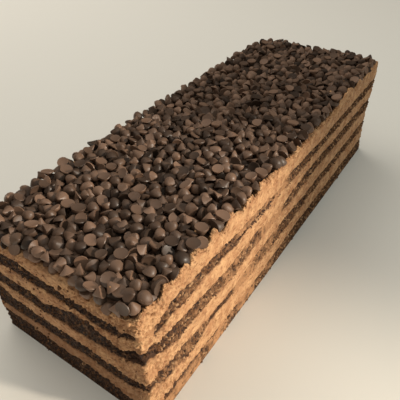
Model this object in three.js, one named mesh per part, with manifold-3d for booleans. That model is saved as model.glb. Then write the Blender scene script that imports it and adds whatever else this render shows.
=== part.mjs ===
// Opera cake bar: four thin chocolate sponges and four chocolate creams laid in turn.
// The sides are trimmed with a knife, so every layer shows all round.
// The top cream carries a close bed of small chocolate chips.
//
// Millimetres, +Z up. The origin is the middle of the footprint, on the surface that the cake stands on.
// The bar's length runs along Y. Its near corner, at +X and -Y, is the one with the most worn seams.

import * as THREE from "three";
import { mergeVertices } from "three/addons/utils/BufferGeometryUtils.js";
import Module from "manifold-3d";

// ---------------------------------------------------------------- driving dimensions

const LENGTH = 286.4; // at the seams; the creams swell a little past them, to about 288 in all
const WIDTH = 98.4; // about 100 in all, and more where the side at -X leans out
const FOOT_FLARE = 4.5; // the side at -X stands this much further out at the foot
const RIM_FLARE = 2.2; // and this much at the rim
const FLARE_START = 22; // heights between which the one passes into the other
const FLARE_END = 68;
const CORNER_RADIUS = 3;
const CORNER_STEPS = 3;
const SIDE_STEP = 10; // between the points of the outline along the sides
const SEAM_GAP = 0.3; // between the faces of two layers
const SPINE_POINTS = 7; // along the middle of a layer's upper and lower face

// Each seam is a height at the middle, a slope across the width, a slow wave along the bar
// and a rise at the near corner. The first one is the flat underside.
const SEAMS = [
  { height: 0, lean: 0, wave: 0, peak: 0, span: 100, cornerRise: 0 },
  { height: 11.2, lean: -2.2, wave: 0.9, peak: -20, span: 120, cornerRise: 1 },
  { height: 22, lean: 0.4, wave: 0.8, peak: -78, span: 62, cornerRise: -1.2 },
  { height: 30, lean: -1.4, wave: 1.7, peak: 60, span: 230, cornerRise: 2.6 },
  { height: 40.2, lean: 0.5, wave: 0.7, peak: 10, span: 96, cornerRise: 4.2 },
  { height: 48.8, lean: 0.6, wave: 0.9, peak: 40, span: 118, cornerRise: 4.6 },
  { height: 58.2, lean: 0.3, wave: 1.2, peak: -98, span: 74, cornerRise: -0.8 },
  { height: 64.6, lean: -0.8, wave: 2.0, peak: -112, span: 150, cornerRise: -3 },
  { height: 75, lean: 0.3, wave: 0.7, peak: 110, span: 190, cornerRise: -0.6 },
];
const CORNER_REACH = 16; // how far from the near corner a seam still rises or dips

const SPONGE_SETBACK = 1.1; // a sponge's cut edge stands behind the creams
const SPONGE_RAGGED = 0.5;
const SPONGE_CORNER_BITE = 1.8; // crumb lost from a sponge at the near corner
const CREAM_BULGE = 0.7;
const CREAM_RAGGED = 0.35;

const RIM_INSET = 2.6; // the top cream's rim, from its outer edge to the bed of chips
const RIM_ROUND = 0.9;
const RIDGE_HEIGHT = 2.4; // cream dragged up by the knife along the long side at +X
const RIDGE_BASE = 0.5;

const CHIP_PITCH = 5.7; // chips are 6 wide and lie a little over each other
const CHIP_JITTER = 0.2; // share of the pitch
const CHIP_RISE_LOW = 3.2; // a chip's top above the cream
const CHIP_RISE_HIGH = 6;
const CHIP_LEAN = 1.1; // how far a chip's tip stands from its middle
const GAP_RISE_LOW = 0.3; // the valleys between chips, above the cream
const GAP_RISE_HIGH = 1.9;
const UPTURNED_SHARE = 0.1; // chips that lie with their flat base up
const UPTURNED_RADIUS = 0.68; // of the way from the middle to the valleys
const UPTURNED_TILT = 1.1;

const SEED = 20;

const SPONGE_LOOK = { color: 0x35221a, roughness: 0.95, metalness: 0 };
const CREAM_LOOK = { color: 0xb27c52, roughness: 0.75, metalness: 0 };
const CHIPS_LOOK = { color: 0x3f2a20, roughness: 0.5, metalness: 0 };

// ---------------------------------------------------------------- helpers

// Seeded random numbers from 0 to 1, the same on every run.
function seededRandom(seed) {
  let state = seed >>> 0;
  return () => {
    state = (state + 0x6d2b79f5) >>> 0;
    let t = state;
    t = Math.imul(t ^ (t >>> 15), t | 1);
    t ^= t + Math.imul(t ^ (t >>> 7), t | 61);
    return ((t ^ (t >>> 14)) >>> 0) / 4294967296;
  };
}

const random = seededRandom(SEED);
const between = (low, high) => low + (high - low) * random();
const unevenness = (reach) => between(-reach, reach);

// 1 at the near corner, fading to nothing over CORNER_REACH.
function nearCorner(x, y) {
  const distance = Math.hypot(WIDTH / 2 - x, LENGTH / 2 + y);
  return Math.exp(-distance / CORNER_REACH);
}

// Height of a seam above the footprint at (x, y).
function seamHeight(seam, x, y) {
  const across = x / (WIDTH / 2);
  const along = Math.cos((2 * Math.PI * (y - seam.peak)) / seam.span);
  return seam.height + seam.lean * across + seam.wave * along + seam.cornerRise * nearCorner(x, y);
}

// Where a point of the upright bar goes when the side at -X leans out: the bar is stretched
// across its width, from nothing at the +X side to the whole flare at the other.
function flared(x, z) {
  const reach = THREE.MathUtils.lerp(
    FOOT_FLARE,
    RIM_FLARE,
    THREE.MathUtils.smoothstep(z, FLARE_START, FLARE_END),
  );
  return x - reach * (0.5 - x / WIDTH);
}

// The cake's outline seen from above, counter-clockwise from the near corner:
// points with their outward directions, closer together round the corners.
function roundedOutline() {
  const x = WIDTH / 2 - CORNER_RADIUS;
  const y = LENGTH / 2 - CORNER_RADIUS;
  const corners = [[x, -y], [x, y], [-x, y], [-x, -y]].map((corner) => new THREE.Vector2(...corner));
  const outline = [];
  corners.forEach((corner, k) => {
    for (let step = 0; step <= CORNER_STEPS; step += 1) {
      const angle = ((k - 1 + step / CORNER_STEPS) * Math.PI) / 2;
      const outward = new THREE.Vector2(Math.cos(angle), Math.sin(angle));
      outline.push({ point: outward.clone().multiplyScalar(CORNER_RADIUS).add(corner), outward });
    }
    const { point: start, outward } = outline[outline.length - 1];
    const side = corners[(k + 1) % corners.length].clone().sub(corner);
    const pieces = Math.round(side.length() / SIDE_STEP);
    for (let piece = 1; piece < pieces; piece += 1) {
      outline.push({ point: start.clone().addScaledVector(side, piece / pieces), outward });
    }
  });
  return outline;
}

const OUTLINE = roundedOutline();
const SPINE_REACH = LENGTH / 2 - WIDTH / 2;
const SPINE = Array.from({ length: SPINE_POINTS }, (_, k) => {
  return THREE.MathUtils.lerp(-SPINE_REACH, SPINE_REACH, k / (SPINE_POINTS - 1));
});

function nearestSpinePoint(y) {
  const share = (y + SPINE_REACH) / (2 * SPINE_REACH);
  return THREE.MathUtils.clamp(Math.round(share * (SPINE_POINTS - 1)), 0, SPINE_POINTS - 1);
}

// A closed layer from a stack of rings, each one point for each point of the outline, counted from below.
// The two ends are closed from their ring to a spine that runs along the middle of the bar.
function solidFromRings(rings, spineLow, spineHigh) {
  const n = OUTLINE.length;
  const vertices = [...rings.flat(), ...spineLow, ...spineHigh];
  const lowSpineStart = rings.length * n;
  const highSpineStart = lowSpineStart + SPINE_POINTS;
  const faces = [];
  for (let i = 0; i < n; i += 1) {
    const next = (i + 1) % n;
    for (let r = 0; r + 1 < rings.length; r += 1) {
      const low = r * n;
      const high = low + n;
      faces.push([low + i, low + next, high + next], [low + i, high + next, high + i]);
    }
    const here = nearestSpinePoint(OUTLINE[i].point.y);
    const there = nearestSpinePoint(OUTLINE[next].point.y);
    const top = (rings.length - 1) * n;
    faces.push([next, i, lowSpineStart + here], [top + i, top + next, highSpineStart + here]);
    if (here !== there) {
      faces.push([next, lowSpineStart + here, lowSpineStart + there]);
      faces.push([top + next, highSpineStart + there, highSpineStart + here]);
    }
  }
  const geometry = new THREE.BufferGeometry();
  geometry.setAttribute("position", new THREE.Float32BufferAttribute(vertices.flat(), 3));
  geometry.setIndex(faces.flat());
  return geometry;
}

// One ring of a layer: the outline moved out by offset(i), at the height that height(i, x, y) gives
// for the unmoved point, so that the faces of two neighbouring layers run side by side.
function ring(offset, height) {
  return OUTLINE.map(({ point, outward }, i) => {
    const reach = offset(i);
    const z = height(i, point.x, point.y);
    return [flared(point.x + outward.x * reach, z), point.y + outward.y * reach, z];
  });
}

const spineAt = (height) => SPINE.map((y) => [0, y, height(0, y)]);

// ---------------------------------------------------------------- layers

// The lower and upper faces of layer number index, half a gap inside their seams.
function layerFaces(index) {
  const lowGap = index === 0 ? 0 : SEAM_GAP / 2;
  return {
    low: (x, y) => seamHeight(SEAMS[index], x, y) + lowGap,
    high: (x, y) => seamHeight(SEAMS[index + 1], x, y) - SEAM_GAP / 2,
  };
}

// A sponge: set back from the creams, with a crumbly edge and a bite lost at the near corner.
function spongeGeometry(index) {
  const { low, high } = layerFaces(index);
  const edge = () => (i) => {
    const { point } = OUTLINE[i];
    return -SPONGE_SETBACK - SPONGE_CORNER_BITE * nearCorner(point.x, point.y) + unevenness(SPONGE_RAGGED);
  };
  const middle = (i, x, y) => (low(x, y) + high(x, y)) / 2;
  const rings = [
    ring(edge(), (i, x, y) => low(x, y)),
    ring(edge(), middle),
    ring(edge(), (i, x, y) => high(x, y)),
  ];
  return solidFromRings(rings, spineAt(low), spineAt(high));
}

// A cream: flush with the cut at its seams and swelling a little between them.
function creamGeometry(index) {
  const { low, high } = layerFaces(index);
  const edge = (bulge) => () => bulge + unevenness(CREAM_RAGGED);
  const middle = (i, x, y) => (low(x, y) + high(x, y)) / 2;
  const rings = [
    ring(edge(0), (i, x, y) => low(x, y)),
    ring(edge(CREAM_BULGE), middle),
    ring(edge(0), (i, x, y) => high(x, y)),
  ];
  return solidFromRings(rings, spineAt(low), spineAt(high));
}

// The top cream without its chips: its rim is rounded, and a ragged ridge stands along the +X side.
function topCreamGeometry(index) {
  const { low, high } = layerFaces(index);
  const edge = (bulge) => () => bulge + unevenness(CREAM_RAGGED);
  const rimHeight = (i, x, y) => {
    const ridge = OUTLINE[i].outward.x > 0.7 ? RIDGE_BASE + between(0, RIDGE_HEIGHT) : 0;
    return high(x, y) + ridge + unevenness(CREAM_RAGGED);
  };
  const rings = [
    ring(edge(0), (i, x, y) => low(x, y)),
    ring(edge(CREAM_BULGE), (i, x, y) => (low(x, y) + high(x, y)) / 2),
    ring(edge(-RIM_ROUND), rimHeight),
    ring(() => -RIM_INSET, (i, x, y) => high(x, y)),
  ];
  return solidFromRings(rings, spineAt(low), spineAt(high));
}

// ---------------------------------------------------------------- chips

// The bed of chips is one uneven surface. Chips sit on a hexagonal lattice, each moved a little,
// and between every three neighbours there is a valley, so that each chip stands in a ring of six valleys.
function chipLattice(creamTop) {
  const fieldWidth = WIDTH - 2 * RIM_INSET;
  const fieldLength = LENGTH - 2 * RIM_INSET;
  const columns = Math.round(fieldWidth / CHIP_PITCH);
  const rows = Math.round(fieldLength / (CHIP_PITCH * Math.sin(Math.PI / 3)));
  const stepX = fieldWidth / columns;
  const stepY = fieldLength / rows;
  const inField = (row, column) => row >= 1 && row <= rows && column >= 1 && column <= columns;

  const centres = [];
  for (let row = 0; row <= rows + 1; row += 1) {
    centres.push([]);
    for (let column = 0; column <= columns + 1; column += 1) {
      const shift = row % 2 ? 0.25 : -0.25;
      const x = (column - 0.5 + shift) * stepX - fieldWidth / 2 + unevenness(CHIP_JITTER * stepX);
      const y = (row - 0.5) * stepY - fieldLength / 2 + unevenness(CHIP_JITTER * stepY);
      centres[row].push([x, y]);
    }
  }

  // A valley at the edge of the bed is sunk into the cream, so that the bed has no wall of its own.
  const valley = (corners) => {
    const [x, y] = [0, 1].map((axis) => {
      return corners.reduce((sum, [row, column]) => sum + centres[row][column][axis], 0) / 3;
    });
    const atEdge = corners.some(([row, column]) => !inField(row, column));
    const limitX = WIDTH / 2 - RIM_ROUND - 1;
    const limitY = LENGTH / 2 - RIM_ROUND - 1;
    const held = [THREE.MathUtils.clamp(x, -limitX, limitX), THREE.MathUtils.clamp(y, -limitY, limitY)];
    const rise = atEdge ? -2 : between(GAP_RISE_LOW, GAP_RISE_HIGH);
    return [...held, creamTop(...held) + rise];
  };

  // Valleys between a chip and the two of the next row (down), and between two chips of a row (up).
  const up = [];
  const down = [];
  for (let row = 0; row <= rows; row += 1) {
    up.push([]);
    down.push([]);
    const odd = row % 2;
    for (let column = 0; column <= columns + 1; column += 1) {
      const right = Math.min(column + 1, columns + 1);
      const nextHigh = Math.min(column + odd, columns + 1);
      const nextLow = Math.max(column - 1 + odd, 0);
      up[row].push(valley([[row, column], [row, right], [row + 1, nextHigh]]));
      down[row].push(valley([[row, column], [row + 1, nextHigh], [row + 1, nextLow]]));
    }
  }

  const chips = [];
  for (let row = 1; row <= rows; row += 1) {
    const odd = row % 2;
    for (let column = 1; column <= columns; column += 1) {
      const below = column - 1 + odd;
      const valleys = [
        up[row][column],
        down[row][column],
        up[row][column - 1],
        down[row - 1][below],
        up[row - 1][below],
        down[row - 1][below + 1],
      ];
      chips.push({ centre: centres[row][column], valleys });
    }
  }
  return chips;
}

// A chip that stands on its base or leans on its side: six faces that rise to a tip.
function uprightChip({ centre, valleys }, creamTop) {
  const [x, y] = [centre[0] + unevenness(CHIP_LEAN), centre[1] + unevenness(CHIP_LEAN)];
  const tip = [x, y, creamTop(x, y) + between(CHIP_RISE_LOW, CHIP_RISE_HIGH)];
  return valleys.map((valley, k) => [valley, valleys[(k + 1) % 6], tip]);
}

// A chip that lies on its tip: a tilted flat base on top, with steep sides under it.
function upturnedChip({ centre, valleys }, creamTop) {
  const [tiltX, tiltY] = [unevenness(UPTURNED_TILT), unevenness(UPTURNED_TILT)];
  const rise = between(CHIP_RISE_LOW, CHIP_RISE_HIGH - UPTURNED_TILT);
  const base = valleys.map(([x, y]) => {
    const [dx, dy] = [(x - centre[0]) * UPTURNED_RADIUS, (y - centre[1]) * UPTURNED_RADIUS];
    const height = creamTop(...centre) + rise + (dx * tiltX + dy * tiltY) / CHIP_PITCH;
    return [centre[0] + dx, centre[1] + dy, height];
  });
  const faces = [];
  for (let k = 0; k < 6; k += 1) {
    const next = (k + 1) % 6;
    faces.push([valleys[k], valleys[next], base[next]], [valleys[k], base[next], base[k]]);
  }
  for (let k = 1; k < 5; k += 1) faces.push([base[0], base[k], base[k + 1]]);
  return faces;
}

// Closes a surface into a solid: its faces, the same faces turned over at a flat level,
// and a wall round its edge.
function closedBelow(faces, level) {
  const dropped = ([x, y]) => [x, y, level];
  const key = (a, b) => `${a}|${b}`;
  const edges = new Set(faces.flatMap(([a, b, c]) => [key(a, b), key(b, c), key(c, a)]));
  const wall = [];
  for (const [a, b, c] of faces) {
    for (const [p, q] of [[a, b], [b, c], [c, a]]) {
      if (!edges.has(key(q, p))) wall.push([dropped(p), dropped(q), q], [dropped(p), q, p]);
    }
  }
  const floor = faces.map(([a, b, c]) => [dropped(a), dropped(c), dropped(b)]);
  const geometry = new THREE.BufferGeometry();
  const positions = [...faces, ...wall, ...floor].flat(2);
  geometry.setAttribute("position", new THREE.Float32BufferAttribute(positions, 3));
  return geometry;
}

function chipBedGeometry(index) {
  const creamTop = layerFaces(index).high;
  const faces = chipLattice(creamTop).flatMap((chip) => {
    return random() < UPTURNED_SHARE ? upturnedChip(chip, creamTop) : uprightChip(chip, creamTop);
  });
  const level = (SEAMS[index].height + SEAMS[index + 1].height) / 2;
  const leaning = faces.map((face) => face.map(([x, y, z]) => [flared(x, z), y, z]));
  return closedBelow(leaning, level);
}

// ---------------------------------------------------------------- joining

const wasm = await Module();
wasm.setup();

function toSolid(geometry) {
  const merged = mergeVertices(geometry, 1e-4);
  return new wasm.Manifold(
    new wasm.Mesh({
      numProp: 3,
      vertProperties: merged.attributes.position.array,
      triVerts: new Uint32Array(merged.index.array),
    }),
  );
}

function toGeometry(solid) {
  const { vertProperties, triVerts } = solid.getMesh();
  const geometry = new THREE.BufferGeometry();
  geometry.setAttribute("position", new THREE.BufferAttribute(vertProperties, 3));
  geometry.setIndex(new THREE.BufferAttribute(triVerts, 1));
  return geometry;
}

// The top cream and its chips are one solid.
function toppedCreamGeometry(index) {
  return toGeometry(toSolid(topCreamGeometry(index)).add(toSolid(chipBedGeometry(index))));
}

// ---------------------------------------------------------------- the cake

const LAYERS = [
  { name: "sponge_1", build: spongeGeometry, look: SPONGE_LOOK },
  { name: "cream_1", build: creamGeometry, look: CREAM_LOOK },
  { name: "sponge_2", build: spongeGeometry, look: SPONGE_LOOK },
  { name: "cream_2", build: creamGeometry, look: CREAM_LOOK },
  { name: "sponge_3", build: spongeGeometry, look: SPONGE_LOOK },
  { name: "cream_3", build: creamGeometry, look: CREAM_LOOK },
  { name: "sponge_4", build: spongeGeometry, look: SPONGE_LOOK },
  { name: "cream_4_with_chips", build: toppedCreamGeometry, look: CHIPS_LOOK },
];

function layerMesh({ name, build, look }, index) {
  const geometry = build(index).toNonIndexed();
  geometry.computeVertexNormals();
  const mesh = new THREE.Mesh(geometry, new THREE.MeshStandardMaterial(look));
  mesh.name = name;
  return mesh;
}

const cake = new THREE.Group();
cake.name = "opera_cake";
LAYERS.forEach((layer, index) => cake.add(layerMesh(layer, index)));

// The flare shifts the middle of the footprint towards -X. This takes it back to the origin.
const middle = new THREE.Box3().setFromObject(cake).getCenter(new THREE.Vector3());
cake.position.set(-middle.x, -middle.y, 0);

export default cake;
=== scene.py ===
"""Opera cake bar: sponge and cream in turn, with a bed of chocolate chips on top.

The CAD frame gives the bar's size and place. Every layer and the bed of chips is
replaced here by a finer mesh of the same form. Lengths are in millimetres until a
mesh is made, and places round the sides are measured along the cut from the near
corner, at +X and -Y: onwards is the long side at +X, backwards the short side at -Y.
The other corners stand at 284, 384 and 668.
"""

import itertools
import logging
import math
from dataclasses import dataclass, field
from enum import Enum

import bpy
import numpy as np
from mathutils import Matrix, Vector


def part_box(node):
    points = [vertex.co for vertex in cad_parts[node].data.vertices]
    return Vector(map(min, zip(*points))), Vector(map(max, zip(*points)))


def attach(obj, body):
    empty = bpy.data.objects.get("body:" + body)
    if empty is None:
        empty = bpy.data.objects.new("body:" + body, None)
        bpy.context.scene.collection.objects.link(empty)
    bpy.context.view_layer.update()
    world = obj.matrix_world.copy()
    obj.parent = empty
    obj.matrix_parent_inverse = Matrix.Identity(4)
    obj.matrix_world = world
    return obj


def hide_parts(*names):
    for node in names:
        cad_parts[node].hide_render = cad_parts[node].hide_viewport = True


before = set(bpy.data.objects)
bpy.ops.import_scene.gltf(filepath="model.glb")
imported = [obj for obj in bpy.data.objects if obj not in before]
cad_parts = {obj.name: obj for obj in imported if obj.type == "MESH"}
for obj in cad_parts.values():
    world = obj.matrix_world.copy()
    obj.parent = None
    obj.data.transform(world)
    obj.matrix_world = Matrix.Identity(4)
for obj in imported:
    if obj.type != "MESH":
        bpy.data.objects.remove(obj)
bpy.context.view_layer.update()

LOG = logging.getLogger("opera_cake")
MM = 0.001
BODY = "root"
SPONGE, CREAM, CHIPS = "chocolate_sponge", "chocolate_cream", "chocolate_chips"  # the record's slots

SEED = 41
FILM_SEED, CRUMB_SEED, CREAM_SEED, SMUDGE_SEED, RIM_SEED = (SEED + n for n in (200, 300, 500, 600, 700))

Array = np.ndarray
Pair = tuple[float, float]
Triple = tuple[float, float, float]
Knots = tuple[Pair, ...]
Colour = tuple[float, float, float, float]
Value = bpy.types.NodeSocket | Colour | float


# -------------------- noise


def hashed(i: Array, j: Array, seed: int) -> Array:
    """Gives every lattice point its own number by mixing the bits of its indices.

    Args:
        i: First index of each point.
        j: Second index of each point.
        seed: Tells one pattern from another.

    Returns:
        Numbers from 0 to 1, of the indices' shape.
    """
    word = np.uint32
    h = i.astype(np.int64).astype(word) * word(0x9E3779B1)
    h ^= j.astype(np.int64).astype(word) * word(0x85EBCA77)
    h ^= word((seed * 0x27D4EB2F) & 0xFFFFFFFF)
    for shift, factor in ((15, 0x2C1B3C6D), (12, 0x297A2D39)):
        h = (h ^ (h >> word(shift))) * word(factor)
    h ^= h >> word(15)
    return h.astype(np.float64) / 2**32


def ease(low: float, high: float, x: Array) -> Array:
    """Rises smoothly from 0 at low to 1 at high, as t * t * (3 - 2 t)."""
    t = np.clip((x - low) / (high - low), 0.0, 1.0)
    return t * t * (3 - 2 * t)


@dataclass(frozen=True)
class Grid:
    """Points on the cut, and the random patterns that lie on it."""

    at: Array  # place of each point round the cut
    z: Array  # its height
    around: float  # length of the whole cut, after which a pattern closes on itself

    def ripple(self, size: Pair, seed: int) -> Array:
        """Smooth waves: random lattice values, blended between the four nearest points.

        The weights are t * t * (3 - 2 t) of the distance t along each axis.

        Args:
            size: Pitch along the cut and upwards.
            seed: Tells one pattern from another.

        Returns:
            Waves from -1 to 1.
        """
        turns = max(1, round(self.around / size[0]))
        pu, pv = self.at / (self.around / turns), self.z / size[1]
        iu, iv = np.floor(pu), np.floor(pv)
        wu, wv = ease(0, 1, pu - iu), ease(0, 1, pv - iv)
        total = np.zeros(self.z.shape)
        for du, dv in itertools.product((0, 1), repeat=2):
            weight = (wu if du else 1 - wu) * (wv if dv else 1 - wv)
            total += weight * hashed((iu + du) % turns, iv + dv, seed)
        return 2 * total - 1

    def layered(self, size: Pair, seed: int, octaves: int = 3) -> Array:
        """Adds ripples, each of half the last one's size and height.

        Args:
            size: Pitch of the first.
            seed: Tells one pattern from another.
            octaves: How many ripples.

        Returns:
            Waves that stay near -1 to 1.
        """
        total = sum(s * self.ripple((size[0] * s, size[1] * s), seed + 101 * k)
                    for k, s in enumerate(0.5 ** np.arange(octaves)))
        return total / (2 - 0.5 ** (octaves - 1))

    def cells(self, size: Pair, seed: int) -> tuple[Array, Array, Array]:
        """Scatters a point into each lattice cell, and measures how far it is.

        Args:
            size: Pitch along the cut and upwards.
            seed: Tells one pattern from another.

        Returns:
            Distance to the nearest scattered point and to the second nearest, in cells,
            and the nearest one's own number from 0 to 1.
        """
        turns = max(1, round(self.around / size[0]))
        pu, pv = self.at * turns / self.around, self.z / size[1]
        iu, iv = np.floor(pu), np.floor(pv)
        first = np.full(self.z.shape, 9.0)
        second, owner = first.copy(), np.zeros_like(first)
        for du, dv in itertools.product((-1, 0, 1), repeat=2):
            column, row = iu + du, iv + dv
            across, up, number = (hashed(column % turns, row, seed + k) for k in range(3))
            gap = np.hypot(column + across - pu, row + up - pv)
            nearer = gap < first
            second = np.where(nearer, first, np.minimum(second, gap))
            owner = np.where(nearer, number, owner)
            first = np.where(nearer, gap, first)
        return first, second, owner


# -------------------- meshes


def strip(rings: int, columns: int) -> Array:
    """Quads between closed rings of points, one above the other.

    Args:
        rings: How many rings.
        columns: Points in each.

    Returns:
        (n, 4) point numbers.
    """
    here = np.arange(columns)
    there = (here + 1) % columns
    start = np.arange(rings - 1)[:, None] * columns
    corners = (here, there, there + columns, here + columns)
    return np.stack([start + corner for corner in corners], 2).reshape(-1, 4)


def fan(one: Array, other: Array, pole: int) -> Array:
    """Triangles from pairs of points to one more point."""
    return np.stack([one, other, np.full(len(one), pole)], 1)


def add_mesh(name: str, points: Array, faces: list[Array], smooth: bool = True) -> bpy.types.Object:
    """Makes an object from points and from arrays of faces, each array of one face size.

    Args:
        name: The piece's name.
        points: (n, 3) points in millimetres.
        faces: Arrays of point indices, one row for each face, anticlockwise seen from outside.
        smooth: Whether the faces are shaded smooth.

    Returns:
        The object, at the origin.
    """
    mesh = bpy.data.meshes.new(name)
    mesh.vertices.add(len(points))
    mesh.vertices.foreach_set("co", (points * MM).astype(np.float32).ravel())
    corners = np.concatenate([f.ravel() for f in faces]).astype(np.int32)
    sizes = np.concatenate([np.full(len(f), f.shape[1]) for f in faces])
    starts = np.concatenate([[0], np.cumsum(sizes)[:-1]]).astype(np.int32)
    mesh.loops.add(len(corners))
    mesh.loops.foreach_set("vertex_index", corners)
    mesh.polygons.add(len(sizes))
    mesh.polygons.foreach_set("loop_start", starts)
    mesh.polygons.foreach_set("use_smooth", np.full(len(sizes), smooth))
    mesh.update(calc_edges=True)
    mesh.validate()
    made = bpy.data.objects.new(name, mesh)
    bpy.context.scene.collection.objects.link(made)
    return made


def hand_in(piece: bpy.types.Object, material: bpy.types.Material, slot: str, marks: dict[str, Array],
            *nodes: str) -> None:
    """Gives a piece its body and material, and what the material reads.

    Args:
        piece: The piece.
        material: Its material.
        slot: The record's material slot; not used.
        marks: One number for each point, by the attribute's name.
        nodes: The CAD nodes that the piece replaces, if any.
    """
    for name, values in marks.items():
        attribute = piece.data.attributes.new(name, "FLOAT", "POINT")
        attribute.data.foreach_set("value", values.astype(np.float32).ravel())
    piece.data.materials.append(material)
    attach(piece, BODY)
    if nodes:
        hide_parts(*nodes)
    LOG.info("%s: %d triangles", piece.name, len(piece.data.loops) - 2 * len(piece.data.polygons))


# -------------------- the cut sides


@dataclass(frozen=True)
class Walk:
    """Points round the cut."""

    at: Array  # place of each point: its distance from the near corner, negative on the short side
    point: Array  # (n, 2) x and y
    out: Array  # (n, 2) outward direction
    around: float  # the whole way round

    def grid(self, z: Array) -> Grid:
        """The points of the cut at some heights, (rows, columns) or one row."""
        return Grid(np.broadcast_to(self.at, z.shape), z, self.around)

    def along(self, knots: Knots, soften: float = 1.2) -> Array:
        """Reads a height given at some places, joined by straight lines and then softened.

        The softening is a running mean with a bell-shaped weight, taken round the cut.

        Args:
            knots: (place, height) pairs.
            soften: Width of the bell.

        Returns:
            The height at every point.
        """
        values = np.interp(self.at, *np.array(knots, float).T, period=self.around)
        step = self.around / len(self.at)
        reach = int(4 * soften / step)
        bell = np.exp(-0.5 * (np.arange(-reach, reach + 1) * step / soften) ** 2)
        wrapped = np.concatenate([values[-reach:], values, values[:reach]])
        return np.convolve(wrapped, bell / bell.sum(), "valid")

    def window(self, start: float, end: float, fade: float) -> Array:
        """1 between two places, falling to 0 over the fade outside them."""
        return ease(start - fade, start, self.at) * (1 - ease(end, end + fade, self.at))


@dataclass(frozen=True)
class Trim:
    """The knife's cut round the bar: a rectangle with softened corners, whose -X side leans out."""

    right: float  # where the +X side stands
    length: float  # along Y
    width: float = 99.9  # along X, before the lean
    corner: float = 1.8  # radius of the upright edges
    bend_points: int = 33  # points round one of them
    step: float = 0.4  # between two points of the cut
    foot_flare: float = 4.5  # how much further out the -X side stands at the foot
    rim_flare: float = 2.2  # how much further out it stands at the rim
    flare_span: Pair = (22.0, 68.0)  # heights between which the one passes into the other
    waist: float = 6.0  # how far the +Y end is drawn in, at most, at its +X corner
    # Heights between which it grows to that, and between which it ends.
    waist_spans: tuple[Pair, Pair] = ((-14.0, 24.0), (38.0, 66.0))
    waist_across: Pair = (-50.0, 40.0)  # places across the bar between which it grows
    waist_start: float = 0.6  # share of the half length at which it starts

    def lean(self, x: Array, z: Array) -> Array:
        """Where points of the upright bar go across it when its -X side leans out."""
        # The bar is stretched by the flare at that height, and its +X side set in its place.
        reach = self.foot_flare + (self.rim_flare - self.foot_flare) * ease(*self.flare_span, z)
        return x - reach * (0.5 - x / self.width) + self.right - self.width / 2

    def draw_in(self, x: Array, y: Array, z: Array) -> Array:
        """Where points of the upright bar go along it when the +Y end is drawn in.

        The last fifth of the bar is shortened, by the waist at its height, which eases off
        towards the -X side.

        Args:
            x: Place across the upright bar.
            y: Place along it.
            z: Height.

        Returns:
            The new place along it.
        """
        half = self.length / 2
        grow, shrink = self.waist_spans
        pull = self.waist * ease(*grow, z) * (1 - ease(*shrink, z)) * ease(*self.waist_across, x)
        return y - pull * ease(self.waist_start * half, half, y)

    def walk(self) -> Walk:
        """Goes once round the cut at an even step.

        A quarter circle turns each corner, and the sides are straight. The places are
        the lengths walked, counted from the middle of the near corner's quarter circle.

        Returns:
            The points of the cut.
        """
        hx, hy, r = self.width / 2 - self.corner, self.length / 2 - self.corner, self.corner
        bends = ((hx, -hy), (hx, hy), (-hx, hy), (-hx, -hy), (hx, -hy))
        turn = np.linspace(0, math.pi / 2, self.bend_points)
        angles = np.concatenate([turn + (k - 1) * math.pi / 2 for k in range(len(bends))])
        centres = np.repeat(bends, self.bend_points, axis=0)
        points = centres + r * np.stack([np.cos(angles), np.sin(angles)], 1)
        walked = np.concatenate([[0], np.cumsum(np.hypot(*np.diff(points, axis=0).T))])
        around = walked[-1] - walked[self.bend_points - 1]
        count = round(around / self.step)
        at = np.arange(count) * around / count
        place = at + walked[self.bend_points // 2]
        x, y, angle = (np.interp(place, walked, values) for values in (*points.T, angles))
        short_side = around - self.width + self.corner * (2 - math.pi / 2)
        signed = np.where(at > short_side, at - around, at)
        return Walk(signed, np.stack([x, y], 1), np.stack([np.cos(angle), np.sin(angle)], 1), around)


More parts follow.
